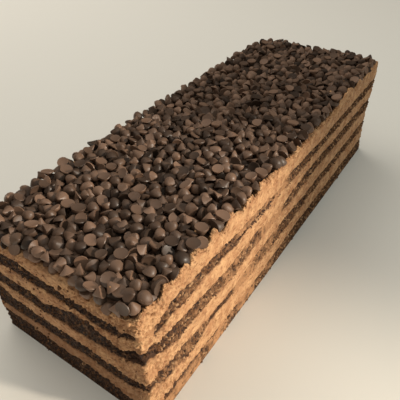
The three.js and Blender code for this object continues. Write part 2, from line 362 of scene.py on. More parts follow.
# Heights of the seams at places round the cut, from the lowest seam up. The two sides that
# meet at the near corner are the worn ones; round the back the seams only wander a little.
SEAM_HEIGHTS: tuple[Knots, ...] = (
    ((-98, 14.5), (-80, 15), (-58, 13), (-49, 13), (-44, 15), (-20, 13), (-17, 10.5), (0, 11),
     (25, 11), (42, 10), (60, 8.5), (95, 8), (115, 9.5), (140, 11), (284, 11), (460, 11.5)),
    ((-98, 20), (-80, 20.5), (-70, 22), (-50, 20.5), (-34, 23), (-20, 22), (-8, 22.5), (-4, 26),
     (5, 28.5), (10, 21.5), (19, 21), (27, 19.5), (37, 19), (43, 22.5), (50, 23.2), (68, 22),
     (94, 20), (144, 20), (164, 22.5), (284, 22), (460, 22)),
    ((-98, 37), (-89, 36), (-85, 32), (-70, 31.5), (-40, 31.5), (-14, 30), (-7, 28.5), (-2, 31.5),
     (10, 32), (28, 30), (40, 28.5), (50, 27.5), (70, 27), (85, 29), (94, 31), (124, 31),
     (154, 30), (284, 29.5), (460, 30)),
    ((-98, 41), (-60, 38.5), (-50, 39.5), (-30, 41), (-12, 42.5), (-5, 45), (3, 48), (8, 45),
     (13, 42), (17, 41), (24, 40), (34, 39.5), (44, 38.5), (54, 37.5), (72, 36), (82, 37),
     (94, 39), (104, 40), (134, 39), (164, 41), (284, 40.5), (460, 40.5)),
    ((-98, 50), (-61, 49), (-57, 45.5), (-53, 48.5), (-45, 51), (-40, 54), (-35, 55.5), (-32, 52),
     (-29, 57), (-26, 54), (-20, 51.5), (-12, 50), (-7, 52), (-1, 56.5), (4, 55), (14, 51.5),
     (34, 49.5), (54, 48), (64, 46.5), (84, 47.5), (94, 48.5), (104, 46), (120, 43.5), (134, 46),
     (154, 48), (174, 49), (284, 48.5), (460, 49)),
    ((-98, 58), (-40, 58), (-34, 58.8), (-30, 58), (-26, 56.5), (-18, 56.5), (-9, 59.5), (-5, 60.5),
     (-2, 62.5), (1, 64.8), (5, 63.3), (7, 58.5), (14, 57.5), (17, 59.5), (22, 58.5), (27, 57.5),
     (34, 58), (44, 58.8), (54, 57.5), (60, 58), (69, 55.5), (80, 57), (124, 57), (144, 55),
     (164, 56.5), (184, 55.5), (204, 57), (284, 57.5), (460, 58)),
    ((-98, 68), (-70, 67.5), (-50, 65), (-20, 63.5), (-12, 65), (-8, 62.5), (-4, 65), (0, 67),
     (5, 63.9), (9, 64.2), (12, 63), (14, 65.5), (16.5, 63), (19, 66.5), (21, 67.7), (26, 66.5),
     (44, 66), (54, 65), (69, 63.5), (104, 62), (120, 60.5), (129, 63.5), (184, 62), (204, 63),
     (284, 63.5), (460, 64.5)),
)
# The same for the top cream's upper edge.
CREAM_TOP: Knots = (
    (-98, 72.6), (-70, 72.2), (-50, 73.2), (-38, 72.8), (-28, 71.6), (-14, 71), (-7, 72.5), (-3, 75),
    (0, 76.3), (40, 76.5), (75, 75.5), (104, 76), (114, 75.5), (125, 75), (140, 73.5), (182, 73.5),
    (192, 75), (202, 77.3), (226, 77), (250, 75.8), (266, 75.5), (276, 77.3), (284, 77), (300, 75),
    (460, 73),
)
# The torn rim along the long side: how far it stands above or below the cream's top.
TORN_RIM: Knots = (
    (-3, 0), (6, 1), (10, 0), (14, -1.8), (16, 1.5), (24, 1), (31, 1), (33.5, -1.5), (36, 2.2),
    (38, 3.0), (41, 1.5), (46, -0.8), (50, 2), (52.5, 5), (55, 2), (58, -1.2), (63, -0.6),
    (65, 3.4), (68, 2), (73, 0), (76, -2.2), (80, 1.5), (84, 2.2), (89, -1.2), (94, 1), (104, 0.5),
    (109, 0.2), (118, 0.5), (121, -2.5), (124, 1.5), (134, -0.8), (139, 1.2), (147, 0.2),
    (154, 0), (156, -4), (158.5, 0.2), (165, -1.5), (174, 1), (181, -1.2), (190, -0.5), (200, 0),
    (206, 1), (212, -0.5), (224, 1.8), (232, -0.8), (241, 1), (250, -0.5), (262, 0.2), (276, 0.8),
    (284, 0), (460, 0),
)


@dataclass(frozen=True)
class Dent:
    """A place where crumb has fallen out."""

    place: float  # its middle, from the near corner
    height: float  # height of its middle
    half_length: float  # from its middle to where it fades, along the side
    half_height: float  # the same upwards
    depth: float  # at its middle

    def press(self, grid: Grid) -> Array:
        """Depth at every point: a bell, the exponential of minus the scaled distance squared."""
        along, up = (grid.at - self.place) / self.half_length, (grid.z - self.height) / self.half_height
        return self.depth * np.exp(-(along**2 + up**2))


@dataclass(frozen=True)
class Smear:
    """A stretch where the knife has dragged cream over a sponge."""

    start: float  # where it starts, from the near corner
    end: float  # where it ends
    low: float  # its lower edge
    high: float  # its upper edge
    cover: float  # how much of the crumb it hides, up to 1
    fade: float = 5.0  # over which it thins out

    def film(self, walk: Walk, z: Array) -> Array:
        """Cover at every point: the smear's strength times its two soft-edged windows."""
        upright = ease(self.low - 1, self.low + 0.6, z) * (1 - ease(self.high - 0.6, self.high + 1, z))
        return self.cover * walk.window(self.start, self.end, self.fade)[None, :] * upright


@dataclass
class Sides:
    """What every layer shares: the cut and the seams."""

    trim: Trim  # the cut's size
    fine_wander: float = 0.6  # height of a seam's fine waves on the long side
    slow_wander: float = 1.3  # height of its slow waves round the back
    walk: Walk = field(init=False)  # the points of the cut
    # Height of every seam round the cut, from the floor to the top cream's rim.
    seams: list[Array] = field(init=False)

    def __post_init__(self) -> None:
        """Reads the seams and adds fine waves, strongest on the short side, and slow ones at the back."""
        walk = self.walk = self.trim.walk()
        line = walk.grid(np.zeros_like(walk.at))
        self.seams = [line.z]
        for k, knots in enumerate(SEAM_HEIGHTS):
            fine = self.fine_wander * line.layered((5.5, 1.0), SEED + 10 * k, 4)
            fine = fine * (1 + 0.6 * walk.window(-96, -3, 4))
            slow = self.slow_wander * line.ripple((46.0, 1.0), SEED + 10 * k + 5)
            self.seams.append(walk.along(knots) + fine + slow * walk.window(300, 660, 12))
        self.seams.append(walk.along(CREAM_TOP, 3.0))

    def place(self, offset: Array, z: Array) -> Array:
        """Points at a distance out from the cut and at a height.

        Args:
            offset: (rows, columns) distance out, along the cut's outward direction.
            z: (rows, columns) height.

        Returns:
            (rows, columns, 3) points.
        """
        walk = self.walk
        x, y = (walk.point[:, axis] + walk.out[:, axis] * offset for axis in (0, 1))
        return np.stack([self.trim.lean(x, z), self.trim.draw_in(x, y, z), z], 2)


@dataclass
class Layer:
    """One layer: rings of points up its side, and level faces out of sight."""

    name: str  # the CAD node that it replaces
    number: int  # its place among the layers, from 0 at the bottom
    sides: Sides  # the cut and the seams
    surface: Array = field(init=False)  # (rows, columns, 3) points of its side

    def seams(self) -> list[Array]:
        """Its lower and its upper seam."""
        return self.sides.seams[self.number:self.number + 2]

    def shelf(self, height: Array, *insets: float) -> Array:
        """Rings of a level face at the height round the cut, each at its distance in from the cut."""
        level = np.broadcast_to(height, (len(insets), len(height)))
        return self.sides.place(np.broadcast_to(-np.array(insets)[:, None], level.shape), level)

    def close(self, rings: Array, low: float, high: float) -> bpy.types.Object:
        """Joins rings, from the one round the underside to the one round the top, into a solid.

        Args:
            rings: (rows, columns, 3) points, each row going anticlockwise seen from above.
            low: Height of the point that closes the underside.
            high: Height of the point that closes the top.

        Returns:
            The object.
        """
        rows, columns, _ = rings.shape
        points = np.concatenate([rings.reshape(-1, 3), [[0, 0, low], [0, 0, high]]])
        here = np.arange(columns)
        there, top, pole = (here + 1) % columns, (rows - 1) * columns, rows * columns
        faces = [strip(rows, columns), fan(there, here, pole), fan(top + here, top + there, pole + 1)]
        return add_mesh(self.name.removesuffix("_with_chips"), points, faces)


# -------------------- sponge


@dataclass
class Sponge(Layer):
    """A chocolate sponge: open crumb, set back from the creams, smeared with cream in places."""

    smears: tuple[Smear, ...] = ()  # where cream covers it
    dents: tuple[Dent, ...] = ()  # where crumb has fallen out
    setback: float = 0.3  # from the cut to the crumb on the smoothed sides
    front_setback: float = 0.45  # the same on the short side at -Y, where crumb has fallen out
    proudest: float = 0.55  # how far past the cut a crumb may stand
    tuck: float = 0.6  # how far it runs on into the creams above and below, out of sight
    rows: int = 26  # rings of points up its side
    lump: float = 1.7  # size of a large crumb
    lump_height: float = 1.05  # how far a large crumb stands out
    grit_height: float = 0.35  # how far a small one does
    sway: float = 0.4  # height of the slow ripple
    groove: float = 1.2  # depth of the groove next to the creams
    groove_reach: float = 0.6  # height over which it falls off
    foot_height: float = 2.5  # how far up from the floor its foot is pressed smooth
    foot_proud: float = 0.15  # how far past the cut the foot stands
    ledge: float = 7.0  # width of the flat ring inside its edge
    dusting: float = 0.16  # cream caught by the crumb on the smoothed sides, up to 1
    rear_cover: float = 0.75  # cover of the seeded smears round the back
    bare: Array = field(init=False)  # how far each point of its side is free of cream, from 0 to 1

    def film(self, grid: Grid) -> Array:
        """Cream on the crumb: the named smears, seeded ones round the back, and a dusting.

        Args:
            grid: Points of its side.

        Returns:
            How much of the crumb it hides, up to 1.
        """
        walk = self.sides.walk
        patches = ease(0.0, 0.5, grid.layered((34.0, 9.0), FILM_SEED + self.number))
        film = self.rear_cover * walk.window(300, 660, 8) * patches
        film = np.maximum(film, self.dusting * walk.window(1, 660, 4))
        for smear in self.smears:
            film = np.maximum(film, smear.film(walk, grid.z))
        return film

    def build(self, material: bpy.types.Material) -> None:
        """Makes the sponge.

        Its side stands back from the cut by the setback and a slow ripple. On it stand
        lumps of two sizes, each a dome of height 1 - (distance / reach) squared, with
        gaps between them. A groove runs next to the creams, deepest at the seam and
        falling off exponentially. Cream on the crumb brings it forward and evens it out.

        Args:
            material: The crumb.
        """
        walk, seed = self.sides.walk, CRUMB_SEED + 20 * self.number
        low, high = self.seams()
        base = low - (self.tuck if self.number else 0)
        z = base + (high + self.tuck - base) * np.linspace(0, 1, self.rows)[:, None]
        grid = walk.grid(z)
        near, next_near, owner = grid.cells((self.lump, self.lump * 0.8), seed)
        fine, _, _ = grid.cells((self.lump * 0.45, self.lump * 0.4), seed + 5)
        lumps = ease(0.0, 0.3, next_near - near) * (1 - near**2) * (0.3 + owner)
        slow = grid.layered((16.0, 6.0), seed + 9)
        dents = sum((dent.press(grid) for dent in self.dents), np.zeros_like(z))
        film = self.film(grid) * (1 - ease(0.4, 1.4, dents))
        front = walk.window(-94, -1, 2.5)
        reach = np.minimum(high - z, z - low if self.number else np.inf)
        seam = np.exp(-np.maximum(reach, 0) / self.groove_reach)
        broken = ease(-0.5, 0.4, grid.layered((7.0, 30.0), seed + 13))
        depth = self.setback + (self.front_setback - self.setback) * front - self.sway * slow
        depth = depth + self.groove * seam * broken * (1 - film) + dents
        crumb = -depth + (self.lump_height - 0.25 * front) * (lumps - 0.45)
        crumb = crumb + self.grit_height * (0.5 - fine**2)
        coated = -0.1 + 0.35 * slow + 0.3 * (lumps - 0.4)
        offset = crumb + (coated - crumb) * ease(0.25, 0.9, film)
        if self.number == 0:
            foot = ease(self.foot_height, 0.0, z)
            offset = offset * (1 - foot) + self.foot_proud * foot
        self.surface = self.sides.place(np.minimum(offset, self.proudest), z)
        self.bare = (1 - film) * (reach > 0.2)
        rings = [self.shelf(z[0], self.ledge), self.surface, self.shelf(z[-1], self.ledge)]
        piece = self.close(np.concatenate(rings), low.mean(), high.mean())
        # Painted shade: on the short side at -Y and in deep dents, where shade falls, the crumb's colour goes
        # towards the pores' and no pale lumps show.
        shade = (1 - 0.75 * walk.window(-96, -2, 3)) * (1 - 0.85 * ease(1.0, 3.2, dents))
        marks = {"lump": lumps * (0.05 + 0.95 * shade), "film": film, "tone": owner * shade, "seam": seam}
        marks = {name: np.append(np.pad(values, ((1, 1), (0, 0)), "edge"), [0, 0])
                 for name, values in marks.items()}
        hand_in(piece, material, SPONGE, marks, self.name)


# -------------------- cream


PAINTED_SHADE = 2.0  # mark value that paints shade on the hidden level faces and on the bed under the chips


@dataclass(frozen=True)
class Pits:
    """Holes of one size in the cream."""

    size: Pair  # pitch of their cells
    share: float  # how many cells hold one, up to 1
    depth: float  # against the deepest
    seed: int  # tells one size's pattern from another


@dataclass
class Cream(Layer):
    """A chocolate cream: proud of the sponges, smoothed with a knife, with pits and streaks."""

    crumb_and_shade: float = 0.0  # crumb colour all over it on the short side, partly painted shade
    bulge: float = 0.15  # how far it swells past the cut
    edge: float = 0.4  # radius of its rounded edges
    streak: float = 0.22  # height of the knife's streaks and of the slow swell
    grain: float = 0.17  # height of the grain, where it is smoothest
    wear: float = 1.7  # height of the ragged waves at the near corner
    pit_depth: float = 0.6  # depth of its deepest pits, on the smoothed sides
    rows: int = 30  # rings of points up its side
    # How far in from the cut its faces have a ring, the second just inside the edge.
    ledges: Pair = (7.0, 0.8)
    pits: tuple[Pits, ...] = (
        Pits((1.7, 1.1), 0.6, 0.7, 3), Pits((3.4, 1.8), 0.45, 1.0, 33), Pits((6.5, 4.0), 0.22, 1.0, 63),
    )

    def relief(self, grid: Grid) -> tuple[Array, Array]:
        """The knife's marks and the holes in the cream.

        Args:
            grid: Points of its side.

        Returns:
            Offset of the surface: ripples drawn out along the bar, a grain and a ragged near
            corner, less the pits. And the pits alone, from 0 to 1.
        """
        walk, seed = self.sides.walk, CREAM_SEED + 20 * self.number
        streaks = grid.layered((8.0, 1.3), seed)
        swell = grid.layered((26.0, 12.0), seed + 1, 2)
        grain = grid.ripple((1.2, 1.0), seed + 2) + 0.7 * grid.ripple((0.95, 0.85), seed + 4)
        worn = walk.window(-30, 16, 14)
        crowd = ease(-0.3, 0.7, grid.ripple((13.0, 5.0), seed + 7)) * (1 - worn) + worn
        pits = np.zeros_like(grid.z)
        for kind in self.pits:
            near, _, owner = grid.cells(kind.size, seed + kind.seed)
            held = owner < kind.share * (0.2 + 0.8 * crowd + 0.45 * worn)
            pits = np.maximum(pits, kind.depth * held * (1 - ease(0.06, 0.32, near)))
        rough = self.grain * (1 + 1.1 * crowd + 0.8 * worn)
        corner = self.wear * walk.window(-5, 6, 6) * grid.layered((6.0, 4.2), seed + 8, 4)
        deep = self.pit_depth + self.pit_depth * worn
        return self.streak * streaks + self.streak * swell + rough * grain + corner - deep * pits, pits

    def smudge_and_shade(self, z: Array, low: Array, high: Array) -> Array:
        """Crumb dragged into the cream, thickest next to the sponges, and on the short side crumb colour that
        is partly painted shade.

        Args:
            z: Height of every point of its side.
            low: Lower seam.
            high: Upper seam.

        Returns:
            Crumb, and on the short side some painted shade, at every point, from 0 to 1.
        """
        walk = self.sides.walk
        reach = np.maximum(np.minimum(z - low, high - z), 0)
        flecks = walk.grid(z).layered((2.6, 1.1), SMUDGE_SEED + self.number)
        flecks = flecks * (1 + 0.6 * walk.window(-96, -6, 6))
        dragged = ease(0.15, 0.65, flecks + 0.45 * np.exp(-reach / 0.8) - 0.12)
        # On the short side, crumb colour that is partly painted shade, darkest on the lowest cream.
        return np.maximum(dragged, self.crumb_and_shade * walk.window(-96, -8, 8))

    def profile(self, low: Array, high: Array) -> tuple[Array, Array]:
        """The layer's upright section: straight sides with rounded edges.

        Within the edge radius of a seam, the offset falls by the radius less the root of
        the radius squared minus the missing height squared.

        Args:
            low: Lower seam.
            high: Upper seam.

        Returns:
            Offset and height of every ring.
        """
        even = np.linspace(0, 1, self.rows)
        rise = 0.5 * (0.5 - 0.5 * np.cos(math.pi * even)) + 0.5 * even
        z = low + (high - low) * rise[:, None]
        short = 1 - np.clip(np.minimum(z - low, high - z) / self.edge, 0, 1)
        rounded = self.edge * (1 - np.sqrt(1 - short**2))
        return self.bulge * np.sin(math.pi * rise)[:, None] - rounded, z

    def build(self, material: bpy.types.Material) -> None:
        """Makes the cream: its section carried round the cut, plus the relief.

        Args:
            material: The cream.
        """
        low, high = self.seams()
        offset, z = self.profile(low, high)
        relief, pits = self.relief(self.sides.walk.grid(z))
        self.surface = self.sides.place(offset + relief, z)
        rings = [self.shelf(low, *self.ledges), self.surface, self.shelf(high, *self.ledges[::-1])]
        piece = self.close(np.concatenate(rings), low.mean(), high.mean())
        hand_in(piece, material, CREAM, self.marks(pits, self.smudge_and_shade(z, low, high)), self.name)

    @staticmethod
    def marks(pits: Array, smudge_and_shade: Array, upper_rings: int = 2) -> dict[str, Array]:
        """What the material reads: the side's own pits and smudges, and painted shade on the level faces."""
        edges = ((2, upper_rings), (0, 0))
        return {name: np.append(np.pad(values, edges, constant_values=ledge), [ledge] * 2)
                for name, values, ledge in (("pit", pits, 0.0), ("smudge_and_shade", smudge_and_shade, PAINTED_SHADE))}


@dataclass
class TopCream(Cream):
    """The top cream, whose rim is torn up along the long side and smooth along the short one."""

    bed: float = 73.4  # height of the cream under the chips
    rag: float = 1.4  # height of the ragged waves on the rim
    tear: float = 1.2  # height of the torn peaks beyond the near ones
    band: float = 0.5  # width of the bare band on the short side
    rim: float = 2.6  # how far below the crest crumb clings to it
    rim_rows: int = 8  # rings of points that the side has for its rim
    reach: float = 9.0  # how far in from the cut its upper face is modelled finely
    # Each inner ring's distance behind the crest, and its share of the crest's height.
    inner: Knots = (
        (0.3, 0.95), (0.6, 0.78), (0.95, 0.55), (1.35, 0.34), (1.9, 0.18), (2.6, 0.08), (3.6, 0.02),
        (5.2, 0.0),
    )
    crumbling: Array = field(init=False)  # how likely each point of its surface is to hold a torn bit

    def crest(self) -> tuple[Array, Array, Array]:
        """The rim's highest line.

        The torn rim's heights stand on the cream's top, with ragged waves of six sizes on
        them, strong on the long side and weak on the short one, where the rim is a bare
        rounded band.

        Returns:
            Height of the crest, its distance in from the cut, and the width of the band.
        """
        walk = self.sides.walk
        line = walk.grid(np.zeros_like(walk.at))
        torn = 0.15 + 0.85 * walk.window(2, 284, 4) + 0.35 * walk.window(384, 668, 6)
        ragged = line.layered((8.0, 1.0), RIM_SEED, 4) + 0.6 * line.layered((2.2, 1.0), RIM_SEED + 20, 2)
        far = self.tear * ease(0.25, 0.75, line.ripple((11.0, 1.0), RIM_SEED + 4))
        far = far * np.maximum(walk.window(96, 284, 8), 0.6 * walk.window(384, 668, 8))
        lift = walk.along(TORN_RIM, 0.4) + torn * self.rag * ragged + far
        inset = 0.3 + 0.3 * np.maximum(lift, 0)
        return self.sides.seams[-1] + lift, inset, self.band * walk.window(-96, -3, 3)

    def build(self, material: bpy.types.Material) -> None:
        """Makes the top cream: side, rim and upper face in one section.

        Next to the crest the side leans in along most of a quarter ellipse, by the inset in
        all. Behind the crest, the inner side falls to the bed.

        Args:
            material: The cream.
        """
        walk, low = self.sides.walk, self.seams()[0]
        crest, inset, band = self.crest()
        z = low + (crest - low) * np.linspace(0, 1, self.rows + self.rim_rows)[:, None]
        short = 1 - np.clip((z - low) / self.edge, 0, 1)
        bend = 1.3 + 1.2 * band
        lean = np.clip((z - crest + bend) / bend, 0, 1)
        side_offset = -self.edge * (1 - np.sqrt(1 - short**2))
        side_offset = side_offset - inset * (1 - np.sqrt(1 - lean**2 * 0.98)) / 0.86
        steps, shares = np.array(self.inner).T[:, :, None]
        inner_inset = inset + steps + band * np.clip(steps / 0.6, 0, 1)
        inner_z = self.bed + (crest - self.bed) * shares
        relief, pits = self.relief(walk.grid(np.concatenate([z, crest + steps])))
        outer = len(z)
        z, offset = np.concatenate([z, inner_z]), np.concatenate([side_offset, -inner_inset])
        rimmed = np.exp(-((z - crest) / self.rim) ** 2)
        rimmed = rimmed * (walk.window(1, 284, 6) + 0.6 * walk.window(-96, -2, 5))
        relief = relief * (1 + 0.8 * rimmed)
        flat = np.concatenate([ease(0.5, 1.0, lean), np.ones_like(inner_z)])
        z = z + relief * flat * 0.8
        self.surface = self.sides.place(offset + relief * (1 - flat), z)
        self.crumbling = np.exp(-((z - crest) / 1.2) ** 2) * walk.window(1, 200, 6)
        torn = ease(-0.15, 0.45, walk.grid(z).layered((2.6, 1.8), RIM_SEED + 30))
        smudge_and_shade = np.maximum(self.smudge_and_shade(z, low, crest + 6), 0.75 * rimmed * torn)
        # Painted shade on the bed under the chips, behind the crest.
        smudge_and_shade[outer:] = np.maximum(smudge_and_shade[outer:], PAINTED_SHADE * ease(1.0, 3.0, steps))
        bed = self.shelf(np.full_like(low, self.bed), self.reach)
        rings = np.concatenate([self.shelf(low, *self.ledges), self.surface, bed])
        piece = self.close(rings, low.mean(), self.bed)
        hand_in(piece, material, CREAM, self.marks(pits, smudge_and_shade, 1), self.name)


# -------------------- chips


class Pose(Enum):
    """How a chip lies: its tip's angle from upright, least and most, and its share of the chips."""

    STANDING = (0, 42, 0.36)
    TIPPED = (46, 116, 0.48)
    UPTURNED = (132, 176, 0.16)


def turn_z(angle: Array) -> Array:
    """(n, 3, 3) turns about Z."""
    c, s, o, i = np.cos(angle), np.sin(angle), np.zeros_like(angle), np.ones_like(angle)
    return np.stack([c, -s, o, s, c, o, o, o, i], 1).reshape(-1, 3, 3)


def turn_y(angle: Array) -> Array:
    """(n, 3, 3) turns about Y."""
    c, s, o, i = np.cos(angle), np.sin(angle), np.zeros_like(angle), np.ones_like(angle)
    return np.stack([c, o, s, o, i, o, -s, o, c], 1).reshape(-1, 3, 3)


@dataclass(frozen=True)
class Chips:
    """Measures of many chips, one number of each kind for every chip."""

    radius: Array  # of the widest ring
    height: Array  # from base to tip
    peak: Array  # how much of a drawn-out cone the chip has, from 0 for a dome to 1
    bend: Array  # how far the tip leans to one side, as a share of the radius
    tone: Array  # the chip's own number from 0 to 1, for its colour
    oval: Array  # its width across the bend, over its radius
    cut: Array  # where a flat has been broken off its side, as a share of the radius; over 1, nowhere

    @classmethod
    def drawn(cls, count: int, width: float, rng: np.random.Generator) -> "Chips":
        """Draws the measures of some chips.

        Args:
            count: How many chips.
            width: Their mean width.
            rng: Seeded random numbers.

        Returns:
            The chips.
        """
        radius = width / 2 * np.clip(rng.normal(1, 0.07, count), 0.82, 1.16)
        height = radius * rng.uniform(0.95, 1.5, count)
        peak, bend, tone = rng.beta(1.2, 1.1, count), 0.5 * rng.beta(1.2, 2.2, count), rng.random(count)
        oval = rng.uniform(0.84, 1.06, count)
        cut = np.where(rng.random(count) < 0.3, rng.uniform(0.45, 0.8, count), 2.0)
        return cls(radius, height, peak, bend, tone, oval, cut)


@dataclass(frozen=True)
class ChipShape:
    """A chocolate chip: a drop with a round base, a little hollow, and a soft tip."""

    levels: tuple[float, ...] = (0.11, 0.46, 0.8)  # share of the height of each ring above the base's edge
    spokes: int = 12  # points round a ring
    # Radius of the base's hollow as a share of the chip's, and its depth as one of the height.
    hollow: Pair = (0.72, 0.05)
    foot: float = 0.95  # radius of the base's edge as a share of the chip's
    middle: float = 0.36  # share of the height at which the chip's middle lies

    def rings(self, chips: Chips) -> Array:
        """Points of the chips, upright, with each chip's middle at the origin.

        At the share v of the height, the radius is a mix of a dome, the root of 1 - v
        squared, and a cone, (1 - v) to the power 1.15. The tip's side is pushed over by
        the bend times v squared. The base's edge is drawn in a little and its inside
        lifted. Last, what lies beyond the cut is pressed back to it.

        Args:
            chips: Their measures.

        Returns:
            (chips, points, 3) points: the rings from the hollow up, and then the tip.
        """
        v = np.array([self.hollow[1], 0.0, *self.levels])[None, :]
        dome, cone = np.sqrt(1 - v**2), (1 - v) ** 1.15
        peak, radius, height = (values[:, None] for values in (chips.peak, chips.radius, chips.height))
        reach = radius * ((1 - peak) * dome + peak * cone)
        reach[:, :3] = radius * np.array([self.hollow[0], self.foot, 1.0])
        angle = np.arange(self.spokes) * 2 * math.pi / self.spokes
        push = (radius * chips.bend[:, None] * v**2)[:, :, None]
        x = reach[:, :, None] * np.cos(angle) + push
        y = reach[:, :, None] * np.sin(angle) * chips.oval[:, None, None]
        z = np.broadcast_to((height * (v - self.middle))[:, :, None], x.shape)
        body = np.stack([x, y, z], 3).reshape(len(radius), -1, 3)
        tip = np.stack([chips.radius * chips.bend, 0 * chips.height, chips.height * (1 - self.middle)], 1)
        whole = np.concatenate([body, tip[:, None]], 1)
        whole[:, :, 0] = np.minimum(whole[:, :, 0], radius * chips.cut[:, None])
        return whole

    def faces(self) -> list[Array]:
        """Faces of one chip.

        Returns:
            Quads up the side, triangles at the tip, and the hollow as one face.
        """
        here, rings = np.arange(self.spokes), len(self.levels) + 2
        last = (rings - 1) * self.spokes
        tip = fan(last + here, last + (here + 1) % self.spokes, last + self.spokes)
        return [strip(rings, self.spokes), tip, here[::-1][None]]


@dataclass
class ChipBed:
    """The bed of chips, dropped one by one to where each comes to rest."""

    cream: TopCream  # the top cream that holds them
    most: int = 3000  # the most chips that may be dropped
    width: float = 6.45  # a chip's mean width
    floor: float = 72.2  # height of the cream under the bed, less what the chips sink in
    bank: float = 1.6  # width of the slope from there up to the rim
    ceiling: float = 81.4  # the highest that a chip's top may reach
    cell: float = 0.4  # pitch of the height map that they settle on
    # Distance from the cut at +X, -X, +Y and -Y within which no chip's middle lies.
    rims: tuple[float, float, float, float] = (1.9, 5.6, 1.9, 1.2)
    # Radius of the bed's corners, from the near one round by +X +Y to -X -Y.
    corners: tuple[float, float, float, float] = (2.5, 5.0, 17.0, 5.0)
    press: float = 0.4  # how far each chip is pressed in among the others
    squeeze: float = 1.3  # how much further one may be, to stay under the ceiling
    draws: int = 420  # spots drawn for each chip, of which the lowest are tried
    tries: int = 32  # how many of them are tried
    patience: int = 90  # chips in a row that may find no room before the bed is full
    largest: float = 0.62  # half the width of the largest chip, over the mean width
    crease: float = 58.0  # angle in degrees past which an edge of a chip is sharp
    shape: ChipShape = ChipShape()  # the chips' form
    # The finer form by which each feels for its place.
    probe: ChipShape = ChipShape(levels=tuple(np.linspace(0.1, 0.96, 10)), spokes=24)
    bed: Array = field(init=False)  # the height map

    def spot(self, column: Array, row: Array) -> tuple[Array, Array]:
        """Place of a cell of the height map, on the upright bar.

        Args:
            column: Its number across the bar.
            row: Its number along the bar.

        Returns:
            The x and y of its middle.
        """
        trim = self.cream.sides.trim
        left = -trim.width / 2 - trim.rim_flare
        return left + (column + 0.5) * self.cell, -trim.length / 2 + (row + 0.5) * self.cell

    def ground(self) -> tuple[Array, Array]:
        """The bed before the first chip, and the cells where a chip's middle may lie.

        The map is flat at the floor and rises to the crest of the cream next to the cut.
        The crest is read at the nearest place of the walk round. In a corner, the distance
        from the rim is the radius less the root of the two missing distances squared and
        added.

        Returns:
            (rows, columns) heights, and the same of truth values.
        """
        walk, trim = self.cream.sides.walk, self.cream.sides.trim
        hx, hy = trim.width / 2, trim.length / 2
        columns, rows = int((trim.width + trim.rim_flare) / self.cell), int(trim.length / self.cell)
        x, y = np.broadcast_arrays(*self.spot(np.arange(columns)[None, :], np.arange(rows)[:, None]))
        gaps = np.stack([hx - x, x + hx + trim.rim_flare, hy - y, y + hy])
        places = np.stack([y + hy, trim.length * 1.5 + trim.width - y, trim.length + hx - x, x - hx])
        at = np.take_along_axis(places, gaps.argmin(0)[None], 0)[0]
        crest, inset, band = (np.interp(at, walk.at, line, period=walk.around) for line in self.cream.crest())
        slope = ease(0.0, self.bank, gaps.min(0) - inset - band)
        heights = self.floor + (crest - 0.2 - self.floor) * (1 - slope)
        right, left, back, front = room = [gap - rim for gap, rim in zip(gaps, self.rims)]
        inside = np.min(room, axis=0)
        meetings = ((right, front), (right, back), (left, back), (left, front))
        for (one, other), radius in zip(meetings, self.corners):
            rounded = radius - np.hypot(np.maximum(radius - one, 0), np.maximum(radius - other, 0))
            inside = np.minimum(inside, rounded)
        return heights, inside > 0

    def settle(self, probes: Array, rng: np.random.Generator) -> tuple[Array, Array]:
        """Drops the chips onto the bed until it is full.

        The bed is a height map. Seen from below, a chip is the lowest of its points in
        each cell; it rests at the height where that just clears the map. Of the lowest
        spots drawn, the one where the chip's middle comes lowest is kept, and the chip's
        upper side is then added to the map. A chip that would stand too high is pressed
        in, or left out if that takes too much.

        Args:
            probes: (chips, points, 3) points of each chip about its middle.
            rng: Seeded random numbers.

        Returns:
            Numbers of the chips that found room, and their (chips, 3) places.
        """
        self.bed, room = self.ground()
        reach = int(self.largest * self.width / self.cell) + 2
        span = 2 * reach + 1
        self.bed = np.pad(self.bed, reach, mode="edge")
        spots = np.argwhere(room)
        kept, places, misses = [], [], 0
        for k, chip in enumerate(probes):
            ij = np.clip(np.round(chip[:, :2] / self.cell).astype(int) + reach, 0, span - 1)
            flat = ij[:, 1] * span + ij[:, 0]
            under, over = np.full(span * span, np.inf), np.full(span * span, -np.inf)
            np.minimum.at(under, flat, chip[:, 2])
            np.maximum.at(over, flat, chip[:, 2])
            under, over = under.reshape(span, span), over.reshape(span, span)
            drawn = spots[rng.integers(len(spots), size=self.draws)]
            heights = self.bed[drawn[:, 0] + reach, drawn[:, 1] + reach]
            drawn = drawn[np.argpartition(heights, self.tries)[: self.tries]]
            rests = [float(np.max(self.bed[r:r + span, c:c + span] - under)) for r, c in drawn]
            best = int(np.argmin(rests))
            (row, column), rest = drawn[best], rests[best] - self.press
            over_top = max(0.0, rest + chip[:, 2].max() - self.ceiling)
            rest -= over_top
            if over_top > self.squeeze:
                misses += 1
                if misses > self.patience:
                    break
                continue
            misses = 0
            patch = self.bed[row:row + span, column:column + span]
            np.maximum(patch, over + rest, out=patch)
            kept.append(k)
            places.append((*self.spot(column, row), rest))
        self.bed = self.bed[reach:-reach, reach:-reach]
        return np.array(kept), np.array(places)

    def rimside(self) -> tuple[Array, Array]:
        """Where torn bits of cream lie on the settled chips.

        They lie thickest at the torn rim and at the near corner, and thin out away from
        them as the exponential of minus the distance.

        Returns:
            (n, 3) points on the chips, and how likely each is to hold one.
        """
        rows, columns = np.indices(self.bed.shape)
        x, y = self.spot(columns, rows)
        trim = self.cream.sides.trim
        right, front = trim.width / 2 - x, y + trim.length / 2
        weight = 0.7 * np.exp(-right / 3) + 3.0 * np.exp(-np.hypot(right, front) / 8)
        weight = (weight + 0.3 * np.exp(-front / 3)) * (np.minimum(right, front) > 0.8) * (right < 20)
        points = np.stack([trim.lean(x, self.bed), y, self.bed + 0.1], 2)
        return points.reshape(-1, 3), weight.ravel()

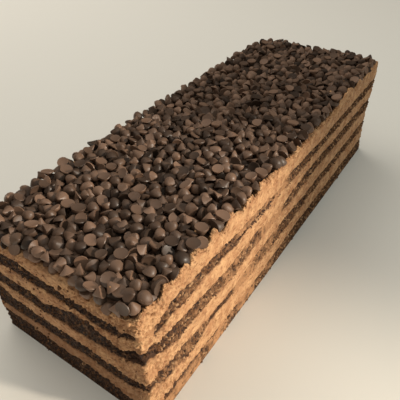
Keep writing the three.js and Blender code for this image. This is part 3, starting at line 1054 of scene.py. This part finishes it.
    def build(self, material: bpy.types.Material) -> None:
        """Makes the chips, one piece for each pose.

        A chip's base is felt by two rings, the edge and a smaller one inside it.

        Args:
            material: The chocolate.
        """
        rng = np.random.default_rng(SEED)
        chips = Chips.drawn(self.most, self.width, rng)
        low, high, share = np.array([pose.value for pose in Pose]).T
        kind = rng.choice(len(share), self.most, p=share)
        tilt = np.radians(low[kind] + (high - low)[kind] * rng.random(self.most))
        spin, heading = rng.random((2, self.most)) * 2 * math.pi
        turned = turn_z(heading) @ turn_y(tilt) @ turn_z(spin)
        outer, spokes = self.probe.rings(chips), self.probe.spokes
        disc = outer[:, spokes:2 * spokes] * np.array([0.35, 0.35, 1.0])
        probes = np.einsum("nij,nkj->nki", turned, np.concatenate([outer, disc], 1))
        kept, places = self.settle(probes, rng)
        placed = np.einsum("nij,nkj->nki", turned[kept], self.shape.rings(chips)[kept]) + places[:, None]
        placed[..., 0] = self.cream.sides.trim.lean(placed[..., 0], placed[..., 2])
        LOG.info("%d chips, the highest at %.1f mm", len(kept), placed[..., 2].max())
        for k, pose in enumerate(Pose):
            chosen = kind[kept] == k
            self.piece("chips_" + pose.name.lower(), placed[chosen], chips.tone[kept][chosen], material)

    def piece(self, name: str, placed: Array, tone: Array, material: bpy.types.Material) -> None:
        """Joins chips into one mesh, whose bases are flat.

        Args:
            name: The piece's name.
            placed: (chips, points, 3) points.
            tone: Each chip's own number, for its colour.
            material: The chocolate.
        """
        chips, points, _ = placed.shape
        start = np.arange(chips)[:, None, None] * points
        faces = [(face[None] + start).reshape(-1, face.shape[1]) for face in self.shape.faces()]
        piece = add_mesh(name, placed.reshape(-1, 3), faces)
        smooth = np.ones(len(piece.data.polygons), bool)
        smooth[-chips:] = False
        piece.data.polygons.foreach_set("use_smooth", smooth)
        piece.data.set_sharp_from_angle(angle=math.radians(self.crease))
        hand_in(piece, material, CHIPS, {"tone": np.repeat(tone, points)}, self.cream.name)


# -------------------- crumbs


@dataclass
class Crumbs:
    """Loose bits of one food, each a rough lump of twenty faces."""

    name: str  # the piece's name
    slot: str  # the record's material slot
    seed: int  # for the random numbers
    places: list[Array] = field(default_factory=list)  # (n, 3) places, an array for each scattering
    sizes: list[Array] = field(default_factory=list)  # radius of each crumb
    rng: np.random.Generator = field(init=False)  # seeded random numbers

    def __post_init__(self) -> None:
        """Seeds the random numbers."""
        self.rng = np.random.default_rng(self.seed)

    def scatter(self, surface: Array, weight: Array | float, count: int, size: float,
                most: float) -> None:
        """Drops crumbs on points of a surface.

        A radius is the size times the exponential of a random number, up to the most.

        Args:
            surface: (..., 3) points.
            weight: How likely each point is to get one.
            count: How many crumbs.
            size: Their usual radius.
            most: Their largest radius.
        """
        share = np.broadcast_to(weight, surface.shape[:-1]).ravel()
        chosen = self.rng.choice(share.size, count, replace=False, p=share / share.sum())
        self.places.append(surface.reshape(-1, 3)[chosen])
        self.sizes.append(np.minimum(size * np.exp(self.rng.normal(0, 0.5, count)), most))

    def build(self, material: bpy.types.Material) -> None:
        """Makes the crumbs.

        A crumb has two poles and two rings of five points between them, the upper ring
        turned by half a step, as on a ball of twenty triangles. Each point is moved in or
        out at random, and the crumb is flattened and turned.

        Args:
            material: Its food.
        """
        places, sizes = np.concatenate(self.places), np.concatenate(self.sizes)
        count, rng = len(places), self.rng
        angle, level = np.arange(5) * 2 * math.pi / 5, 1 / math.sqrt(5)
        rings = [np.stack([2 * level * np.cos(spoke), 2 * level * np.sin(spoke), 0 * spoke + z], 1)
                 for z, spoke in ((-level, angle), (level, angle + math.pi / 5))]
        ball = np.concatenate([[[0, 0, -1]], *rings, [[0, 0, 1]]])
        lumps = ball * rng.uniform(0.55, 1.35, (count, 12, 1)) * rng.uniform(0.5, 1.2, (count, 1, 3))
        turns = turn_z(rng.random(count) * 2 * math.pi) @ turn_y(rng.random(count) * math.pi)
        points = np.einsum("nij,nkj->nki", turns, lumps * sizes[:, None, None]) + places[:, None]
        points[..., 2] = np.maximum(points[..., 2], 0.02)
        foot, low, high, tip = np.zeros(5, int), np.arange(1, 6), np.arange(6, 11), np.full(5, 11)
        after, beyond = np.roll(low, -1), np.roll(high, -1)
        rows = ((foot, after, low), (low, after, high), (after, beyond, high), (tip, high, beyond))
        faces = np.concatenate([np.stack(row, 1) for row in rows])
        joined = (faces[None] + 12 * np.arange(count)[:, None, None]).reshape(-1, 3)
        piece = add_mesh(self.name, points.reshape(-1, 3), [joined])
        marks = {"tone": rng.random(count), "lump": 0.45 + 0.5 * rng.random(count),
                 "smudge_and_shade": 0.5 * rng.random(count), **dict.fromkeys(("film", "seam", "pit"), 0 * sizes)}
        hand_in(piece, material, self.slot, {name: np.repeat(values, 12) for name, values in marks.items()})


# -------------------- materials


def screen(*levels: int) -> Colour:
    """A screen colour, 0 to 255, as the linear values that a shader works in."""
    return (*(((c / 255 + 0.055) / 1.055) ** 2.4 if c > 10 else c / 255 / 12.92 for c in levels), 1.0)


class Nodes:
    """Adds and joins the nodes of a material or of a node group."""

    def __init__(self, tree: bpy.types.NodeTree) -> None:
        """Takes the tree that the nodes go into."""
        self.tree = tree

    def feed(self, socket: bpy.types.NodeSocket, value: Value) -> None:
        """Joins an input to an output, or gives it a plain value.

        Args:
            socket: The input.
            value: The output, or the value.
        """
        if isinstance(value, bpy.types.NodeSocket):
            self.tree.links.new(value, socket)
        else:
            socket.default_value = value

    def add(self, kind: str, inputs: dict[str | int, Value] | None = None,
            **settings: object) -> bpy.types.Node:
        """Adds a node.

        Args:
            kind: The node's type, without its prefix.
            inputs: What feeds each input, by name or number.
            settings: Properties of the node.

        Returns:
            The node.
        """
        node = self.tree.nodes.new(kind if kind.startswith("Node") else "ShaderNode" + kind)
        for name, value in settings.items():
            setattr(node, name, value)
        for key, value in (inputs or {}).items():
            self.feed(node.inputs[key], value)
        return node

    def attribute(self, name: str) -> bpy.types.NodeSocket:
        """The number that the piece stores under this name."""
        return self.add("Attribute", attribute_name=name).outputs["Fac"]

    def noise(self, scale: float, detail: float, stretch: Triple = (1, 1, 1)) -> bpy.types.NodeSocket:
        """Noise in the piece's own coordinates, from 0 to 1.

        Args:
            scale: Waves in a metre.
            detail: How many finer waves are added.
            stretch: Scale along each axis.

        Returns:
            The noise.
        """
        place = self.add("TexCoord").outputs["Object"]
        mapped = self.add("Mapping", {"Vector": place, "Scale": stretch}).outputs[0]
        return self.add("TexNoise", {"Vector": mapped, "Scale": scale, "Detail": detail}).outputs["Fac"]

    def span(self, value: bpy.types.NodeSocket, start: Pair, end: Pair = (0, 1)) -> bpy.types.NodeSocket:
        """Carries a value from the start range onto the end range, and holds it there."""
        ends = dict(zip(("From Min", "From Max", "To Min", "To Max"), (*start, *end)))
        return self.add("MapRange", {"Value": value, **ends}).outputs[0]

    def mix(self, share: Value, first: Value, second: Value, blend: str = "MIX") -> bpy.types.NodeSocket:
        """Mixes a share of the second colour into the first."""
        return self.add("Mix", {0: share, 6: first, 7: second}, data_type="RGBA", blend_type=blend).outputs[2]

    def maths(self, operation: str, first: Value, second: Value) -> bpy.types.NodeSocket:
        """One sum of two numbers."""
        return self.add("Math", {0: first, 1: second}, operation=operation).outputs[0]


def make_mottle() -> bpy.types.ShaderNodeTree:
    """Makes the group that gives every food its slight unevenness of colour and surface.

    It tints a colour lighter and darker by a broad and a fine noise, and puts the fine
    noise out as a height.

    Returns:
        The node group.
    """
    tree = bpy.data.node_groups.new("mottle", "ShaderNodeTree")
    for way, names in (("INPUT", ("Colour", "Strength", "Broad scale", "Fine scale")),
                       ("OUTPUT", ("Colour", "Height"))):
        for name in names:
            kind = "NodeSocketColor" if name == "Colour" else "NodeSocketFloat"
            tree.interface.new_socket(name, in_out=way, socket_type=kind)
    nodes = Nodes(tree)
    given = nodes.add("NodeGroupInput").outputs
    place = nodes.add("TexCoord").outputs["Object"]
    inputs = {"Vector": place, "Detail": 3.0}
    broad, fine = (nodes.add("TexNoise", {**inputs, "Scale": given[name]}).outputs["Fac"]
                   for name in ("Broad scale", "Fine scale"))
    both = nodes.maths("ADD", nodes.maths("MULTIPLY", broad, 0.6), nodes.maths("MULTIPLY", fine, 0.4))
    swing = nodes.maths("MULTIPLY", nodes.maths("SUBTRACT", both, 0.5), given["Strength"])
    factor = nodes.maths("ADD", 1.0, swing)
    tint = nodes.add("CombineColor", {0: factor, 1: factor, 2: factor}).outputs[0]
    mixed = nodes.mix(1.0, given["Colour"], tint, "MULTIPLY")
    nodes.add("NodeGroupOutput", {"Colour": mixed, "Height": fine})
    return tree


@dataclass(frozen=True)
class Finish:
    """What every finish shares."""

    name: str  # the material's name
    roughness: float  # how dull it is
    mottle: float  # strength of the unevenness
    broad: float  # broad unevenness, waves in a metre
    fine: float  # fine unevenness, waves in a metre
    relief: float  # height of the fine relief, in metres
    specular: float = 0.35  # its specular level

    def colour(self, nodes: Nodes) -> Value:
        """The finish's colour before its mottling."""
        raise NotImplementedError

    def rough(self, nodes: Nodes) -> Value:
        """The roughness."""
        return self.roughness

    def make(self, mottle: bpy.types.ShaderNodeTree) -> bpy.types.Material:
        """Builds the material.

        Args:
            mottle: The shared mottling group.

        Returns:
            The material.
        """
        material = bpy.data.materials.new(self.name)
        material.use_nodes = True
        nodes = Nodes(material.node_tree)
        shader = material.node_tree.nodes["Principled BSDF"].inputs
        inputs = {"Colour": self.colour(nodes), "Strength": self.mottle, "Broad scale": self.broad,
                  "Fine scale": self.fine}
        mottled = nodes.add("Group", inputs, node_tree=mottle).outputs
        bump = nodes.add("Bump", {"Height": mottled["Height"], "Distance": self.relief, "Strength": 1.0})
        nodes.feed(shader["Base Color"], mottled["Colour"])
        nodes.feed(shader["Normal"], bump.outputs["Normal"])
        nodes.feed(shader["Roughness"], self.rough(nodes))
        nodes.feed(shader["Specular IOR Level"], self.specular)
        return material


@dataclass(frozen=True)
class CreamFinish(Finish):
    """Matte chocolate cream, with painted shade in its pits, on its hidden level faces and under the chips,
    and darker where crumb is dragged in.
    """

    body: Colour = screen(197, 153, 109)
    blotch: Colour = screen(166, 119, 80)
    # The pit colour gives the specks and the painted shade in the pits.
    pit: Colour = screen(132, 88, 54)
    crumb: Colour = screen(122, 84, 56)
    # Painted shade on the hidden level faces and under the chips.
    painted_shade_colour: Colour = screen(92, 66, 50)

    def colour(self, nodes: Nodes) -> bpy.types.NodeSocket:
        """Blotchy cream with short specks, crumb dragged into it, painted shade on the hidden level faces and
        under the chips, and painted shade in its pits.

        Args:
            nodes: The material's nodes.

        Returns:
            The colour.
        """
        base = nodes.mix(nodes.span(nodes.noise(170, 3), (0.35, 0.65)), self.body, self.blotch)
        specks = nodes.span(nodes.noise(560, 3, (1.0, 0.6, 1.0)), (0.54, 0.68), (0, 0.75))
        specked = nodes.mix(specks, base, self.pit)
        smudge_and_shade = nodes.attribute("smudge_and_shade")
        smudged = nodes.mix(nodes.span(smudge_and_shade, (0, 1), (0, 0.62)), specked, self.crumb)
        # Painted shade on the hidden level faces and the bed under the chips.
        with_painted_shade = nodes.mix(nodes.span(smudge_and_shade, (1, PAINTED_SHADE)), smudged, self.painted_shade_colour)
        # Painted shade in the pits.
        return nodes.mix(nodes.span(nodes.attribute("pit"), (0, 1), (0, 0.7)), with_painted_shade, self.pit)


@dataclass(frozen=True)
class SpongeFinish(Finish):
    """Brown open crumb, with painted shade in its pores and at the seams, and pale lumps that are partly
    light crumb, partly painted glints.
    """

    # The pore colour is painted shade in the gaps between lumps, the edge colour painted shade in the groove
    # next to the creams, and the pale colour partly light crumb, partly painted glints.
    pore: Colour = screen(38, 19, 8)
    lump: Colour = screen(102, 66, 36)
    pale: Colour = screen(168, 131, 94)
    edge: Colour = screen(58, 31, 14)
    film: Colour = screen(166, 121, 82)

    def colour(self, nodes: Nodes) -> bpy.types.NodeSocket:
        """Crumb from painted shade in its pores to its lumps, some of them pale as partly painted glints,
        with painted shade at the seams, under a streaky film of cream.

        Args:
            nodes: The material's nodes.

        Returns:
            The colour.
        """
        fine = nodes.noise(640, 3)
        speck = nodes.maths("ADD", nodes.attribute("lump"), nodes.span(fine, (0.35, 0.65), (-0.45, 0.45)))
        crumb = nodes.mix(nodes.span(speck, (0.08, 0.85)), self.pore, self.lump)
        # Pale lumps, partly light crumb and partly painted glints, none where the tone mark carries painted
        # shade.
        chosen = nodes.maths("MULTIPLY", nodes.span(nodes.attribute("tone"), (0.8, 0.95), (0, 0.9)),
                             nodes.span(speck, (0.3, 0.8)))
        flecked = nodes.mix(chosen, crumb, self.pale)
        # Painted shade in the groove next to the creams.
        edged = nodes.mix(nodes.span(nodes.attribute("seam"), (0.2, 0.8), (0, 0.85)), flecked, self.edge)
        streak = nodes.span(nodes.noise(260, 3), (0.3, 0.7), (-0.4, 0.4))
        cover = nodes.span(nodes.maths("ADD", nodes.attribute("film"), streak), (0.2, 0.85), (0, 0.95))
        return nodes.mix(cover, edged, self.film)


@dataclass(frozen=True)
class ChipFinish(Finish):
    """Satin dark chocolate, each chip a little lighter or darker than the next."""

    dark: Colour = screen(54, 41, 32)
    light: Colour = screen(118, 90, 71)

    def colour(self, nodes: Nodes) -> bpy.types.NodeSocket:
        """Chocolate between its dark and light, by the chip's own tone."""
        return nodes.mix(nodes.attribute("tone"), self.dark, self.light)

    def rough(self, nodes: Nodes) -> bpy.types.NodeSocket:
        """Duller where a little bloom has formed."""
        return nodes.span(nodes.noise(320, 2), (0.35, 0.65), (self.roughness - 0.06, self.roughness + 0.1))


@dataclass(frozen=True)
class FloorFinish(Finish):
    """A plain pale surface."""

    body: Colour = screen(210, 204, 193)

    def colour(self, nodes: Nodes) -> Colour:
        """One pale colour."""
        return self.body


# -------------------- studio


class LampKind(Enum):
    """What a lamp is, by Blender's names."""

    AREA = "AREA"
    SPOT = "SPOT"


@dataclass(frozen=True)
class Lamp:
    """A light."""

    name: str  # its name
    kind: LampKind  # a panel or a spotlight
    place: Triple  # where it stands, in metres
    target: Triple  # what it points at
    power: float  # in watts
    colour: Triple  # its colour
    settings: dict[str, float]  # its other properties

    def build(self) -> None:
        """Makes the light; only a spot shows in gloss."""
        data = bpy.data.lights.new(self.name, self.kind.value)
        data.energy, data.color = self.power, self.colour
        for key, value in self.settings.items():
            setattr(data, key, value)
        made = bpy.data.objects.new(self.name, data)
        made.location = self.place
        made.rotation_euler = (Vector(self.target) - Vector(self.place)).to_track_quat("-Z", "Y").to_euler()
        made.visible_glossy = self.kind is LampKind.SPOT
        bpy.context.scene.collection.objects.link(made)


# A warm low key at the near part of the long side, a soft top light, a wash over the floor
# behind, and a little warm light thrown back at the short side.
LAMPS = (
    Lamp("key", LampKind.SPOT, (1.16, 0.25, 0.44), (0.05, -0.40, 0.17), 79.0, (1.0, 0.90, 0.76),
         {"shadow_soft_size": 0.04, "spot_size": math.radians(37.6), "spot_blend": 0.2}),
    Lamp("top", LampKind.AREA, (0.5, -0.1, 1.15), (0.0, -0.2, 0.05), 6.0, (0.84, 0.98, 1.0),
         {"size": 1.4}),
    Lamp("wash", LampKind.AREA, (-1.0, 0.35, 1.0), (-0.7, 0.6, 0.0), 14.0, (1.0, 0.98, 0.93),
         {"size": 1.4}),
    Lamp("bounce", LampKind.AREA, (-0.1, -0.9, 0.3), (0.0, -0.1, 0.07), 0.4, (1.0, 0.72, 0.47),
         {"size": 0.6}),
)


@dataclass(frozen=True)
class Studio:
    """Floor, lights and camera."""

    azimuth: float = 35.20  # where the camera stands, turned from looking along +Y
    elevation: float = 38.05  # its angle above the horizon
    roll: float = -1.889  # its lean to one side
    eye: Triple = (0.12780, -0.20918, 0.20640)  # its place, in metres
    lens: float = 39.82  # focal length for the sensor
    sensor: float = 36.0  # width of the sensor
    clip: Pair = (0.01, 20.0)  # nearest and furthest that the camera sees, in metres
    floor_half: float = 2.5  # half the floor's side, in metres
    sky: Colour = (1.0, 0.95, 0.88, 1.0)  # the room's colour
    sky_strength: float = 0.36  # the room's brightness

    def camera(self) -> None:
        """Makes the camera and points it at the cake."""
        az, el, roll = (math.radians(a) for a in (self.azimuth, self.elevation, self.roll))
        back = Vector((math.sin(az) * math.cos(el), -math.cos(az) * math.cos(el), math.sin(el)))
        right = (-back).cross(Vector((0, 0, 1))).normalized()
        up = right.cross(-back)
        leaned_right = right * math.cos(roll) + up * math.sin(roll)
        leaned_up = up * math.cos(roll) - right * math.sin(roll)
        data = bpy.data.cameras.new("camera")
        data.lens, data.sensor_width = self.lens, self.sensor
        data.clip_start, data.clip_end = self.clip
        made = bpy.data.objects.new("camera", data)
        axes = Matrix((leaned_right, leaned_up, back)).transposed()
        made.matrix_world = Matrix.Translation(Vector(self.eye)) @ axes.to_4x4()
        bpy.context.scene.collection.objects.link(made)
        bpy.context.scene.camera = made

    def floor(self, finish: bpy.types.Material) -> None:
        """Makes the floor.

        Args:
            finish: Its material.
        """
        h = self.floor_half / MM
        corners = np.array([[-h, -h, 0], [h, -h, 0], [h, h, 0], [-h, h, 0]], float)
        made = add_mesh("floor", corners, [np.array([[0, 1, 2, 3]])], smooth=False)
        made.data.materials.append(finish)

    def light(self) -> None:
        """Makes the lamps and a dim room that doesn't show in gloss."""
        for lamp in LAMPS:
            lamp.build()
        world = bpy.data.worlds.new("room")
        world.use_nodes = True
        sky = world.node_tree.nodes["Background"].inputs
        sky["Color"].default_value = self.sky
        sky["Strength"].default_value = self.sky_strength
        bpy.context.scene.world = world
        world.cycles_visibility.glossy = False
        bpy.context.scene.view_settings.view_transform = "Standard"


# -------------------- the cake


SMEARS: dict[str, tuple[Smear, ...]] = {
    "sponge_1": (
        Smear(-4, 36, 0, 8.2, 0.72), Smear(36, 47, 0, 9, 0.4), Smear(46, 63, 0, 9, 0.66),
        Smear(63, 78, 0, 9, 0.4), Smear(76, 93, 1, 9, 0.75), Smear(103, 118, 2, 9, 0.5),
    ),
    "sponge_2": (
        Smear(6, 44, 22, 31, 0.34), Smear(44, 72, 26.4, 31, 0.7), Smear(72, 90, 20, 31, 0.8),
        Smear(90, 122, 20, 31, 0.45),
    ),
    "sponge_3": (
        Smear(-11, -5, 46, 50, 0.9, 1.5), Smear(36, 58, 37, 50, 0.28), Smear(58, 104, 36, 50, 0.46),
        Smear(100, 123, 37, 50, 0.8),
    ),
    "sponge_4": (
        Smear(-1, 7, 56, 69, 1.0, 1.5), Smear(15.8, 17.4, 56, 68, 0.6, 1.2), Smear(52, 74, 59.5, 66, 0.3),
        Smear(72, 112, 59.6, 66, 0.6), Smear(110, 126, 57, 66, 0.75),
    ),
}
DENTS: dict[str, tuple[Dent, ...]] = {
    "sponge_1": (Dent(26.0, 10.2, 7.0, 1.3, 2.2), Dent(66.0, 4.0, 3.0, 5.0, 1.2)),
    "sponge_2": (Dent(56.0, 25.6, 12.0, 1.9, 2.6), Dent(4.0, 29.0, 7.0, 1.6, 1.6)),
    "sponge_3": (Dent(-2.5, 51.0, 9.0, 6.0, 4.2), Dent(10.0, 47.0, 4.0, 4.0, 1.2)),
    "sponge_4": (
        Dent(11.5, 60.2, 2.2, 2.6, 2.0), Dent(15.5, 61.0, 1.6, 3.0, 1.4), Dent(45.5, 62.0, 2.5, 3.0, 1.6),
        Dent(56.0, 59.6, 5.0, 1.2, 1.4), Dent(74.0, 58.0, 12.0, 1.2, 2.6), Dent(97.0, 58.8, 5.0, 1.3, 2.2),
    ),
}
CRUMB_AND_SHADE = (1.0, 0.1, 0.0)  # crumb colour over the three lower creams on the short side, darkest on the lowest: partly crumb, partly painted shade
RAGGED = 0.3  # how far the CAD cream's own ripples stand past the cut


def make_sides() -> Sides:
    """Takes the cut's place and length from the CAD frame."""
    low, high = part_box("cream_2")
    return Sides(Trim(high[0] / MM - RAGGED, (high[1] - low[1]) / MM - 2 * RAGGED))


def main() -> None:
    """Builds the sponges, the creams, the chips and the crumbs, then the studio."""
    logging.basicConfig(level=logging.INFO, format="%(name)s %(message)s")
    sides = make_sides()
    mottle = make_mottle()
    cream = CreamFinish(CREAM, roughness=0.7, mottle=0.4, broad=80, fine=1300, relief=0.0004).make(mottle)
    sponge = SpongeFinish(SPONGE, roughness=0.75, mottle=0.4, broad=90, fine=1300, relief=0.0003).make(mottle)
    chocolate = ChipFinish(CHIPS, roughness=0.5, mottle=0.2, broad=120, fine=900, relief=0.00003,
                           specular=0.55).make(mottle)
    plain = FloorFinish("floor", roughness=0.7, mottle=0.02, broad=3, fine=40, relief=0.0).make(mottle)
    crumbs = Crumbs("sponge_crumbs", SPONGE, SEED + 1)
    flecks = Crumbs("cream_crumbs", CREAM, SEED + 2)
    for k, (name, smears) in enumerate(SMEARS.items()):
        layer = Sponge(name, 2 * k, sides, smears, DENTS[name])
        layer.build(sponge)
        crumbs.scatter(layer.surface, layer.bare, count=620, size=0.42, most=1.0)
    short = sides.walk.window(-96, -4, 3)
    for k, crumb_and_shade in enumerate(CRUMB_AND_SHADE):
        layer = Cream(f"cream_{k + 1}", 2 * k + 1, sides, crumb_and_shade)
        layer.build(cream)
        near_seams = np.concatenate([layer.surface[:4], layer.surface[-4:]])
        crumbs.scatter(near_seams, 1.0, count=90, size=0.26, most=0.5)
        crumbs.scatter(layer.surface, short, count=38, size=0.36, most=1.0)
        flecks.scatter(layer.surface, 1.0, count=70, size=0.3, most=0.7)
    layer = TopCream("cream_4_with_chips", 7, sides)
    layer.build(cream)
    crumbs.scatter(layer.surface[: layer.rows], short, count=34, size=0.36, most=1.0)
    bed = ChipBed(layer)
    bed.build(chocolate)
    flecks.scatter(layer.surface, layer.crumbling, count=900, size=0.42, most=0.9)
    flecks.scatter(*bed.rimside(), count=16, size=0.44, most=1.2)
    crumbs.build(sponge)
    flecks.build(cream)
    studio = Studio()
    studio.floor(plain)
    studio.camera()
    studio.light()


if __name__ == "__main__":
    main()
